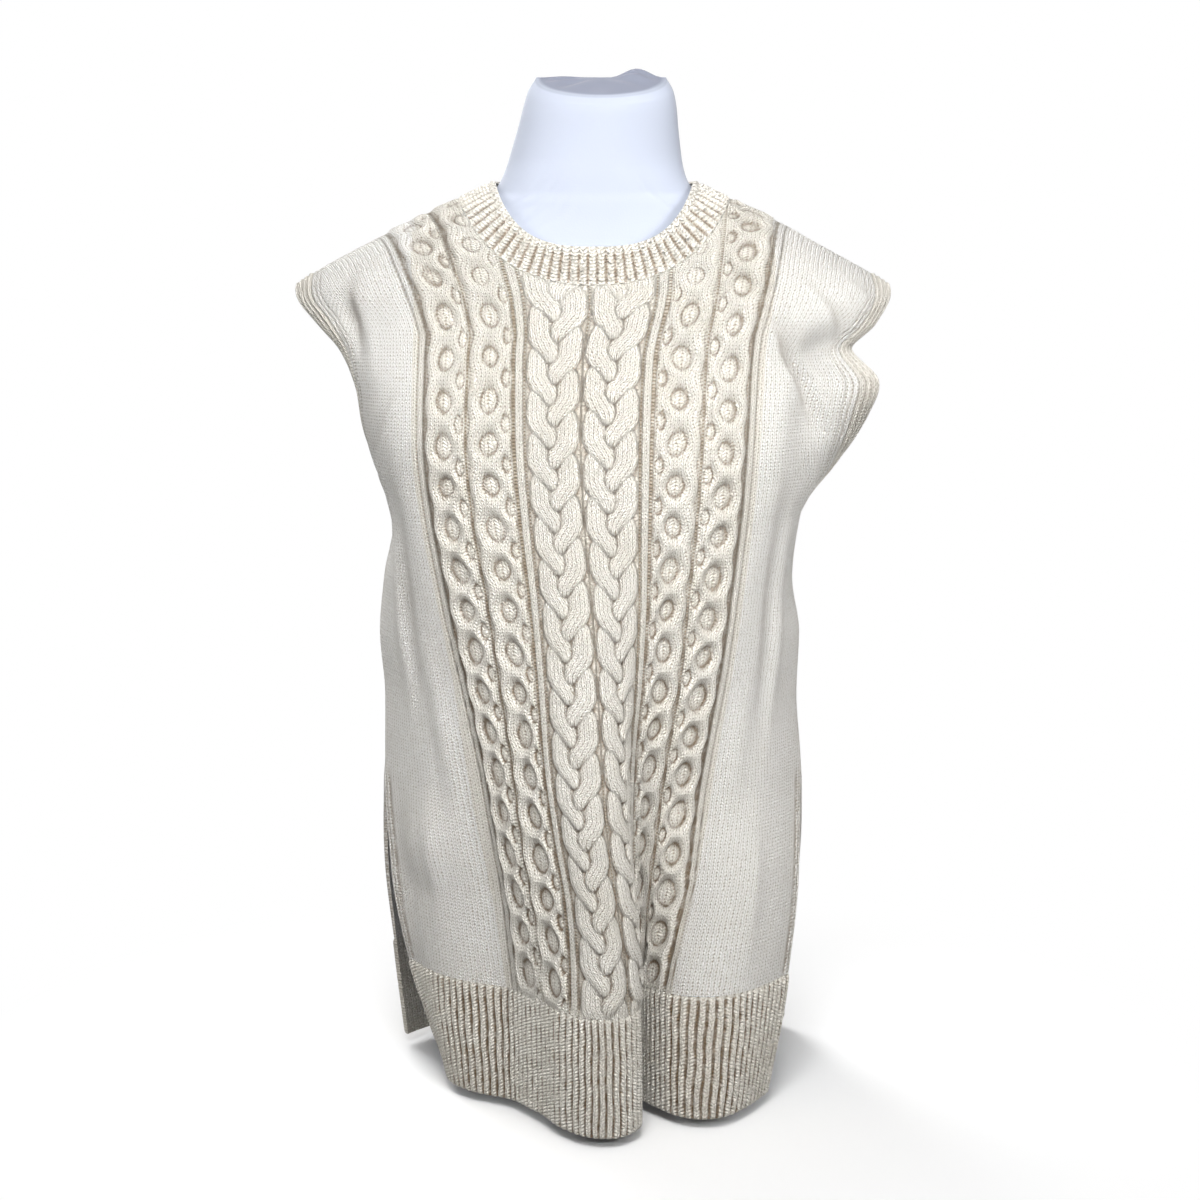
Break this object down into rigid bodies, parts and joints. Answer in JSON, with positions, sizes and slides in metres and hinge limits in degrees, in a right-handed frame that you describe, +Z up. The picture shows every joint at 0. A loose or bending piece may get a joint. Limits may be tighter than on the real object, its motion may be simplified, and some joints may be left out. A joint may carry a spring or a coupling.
{
  "type": "sweater vest on a dress form",
  "caption": "Long cable-knit sweater vest with wide capped shoulders, ribbed neck, armholes and hem and side slits, worn open at neck, arms and hem on a limbless dress form.",
  "frame": {"origin": "centre of the whole part's outline in plan, at the form's flat foot", "axes": "+Z up, the front of the vest faces -Y, the wearer's right side is -X"},
  "size_m": [0.5164, 0.3922, 0.88],
  "materials": {
    "cable_knit": "matte cream cable knit",
    "rib_knit": "matte cream rib knit",
    "form_jersey": "smooth bluish white jersey"
  },
  "bodies": {
    "root": {"front_panel": "cable_knit", "back_panel": "cable_knit", "front_hem_rib": "rib_knit", "back_hem_rib": "rib_knit", "neckband": "rib_knit", "left_armhole_band": "rib_knit", "right_armhole_band": "rib_knit", "dress_form": "form_jersey"}
  },
  "joints": []
}
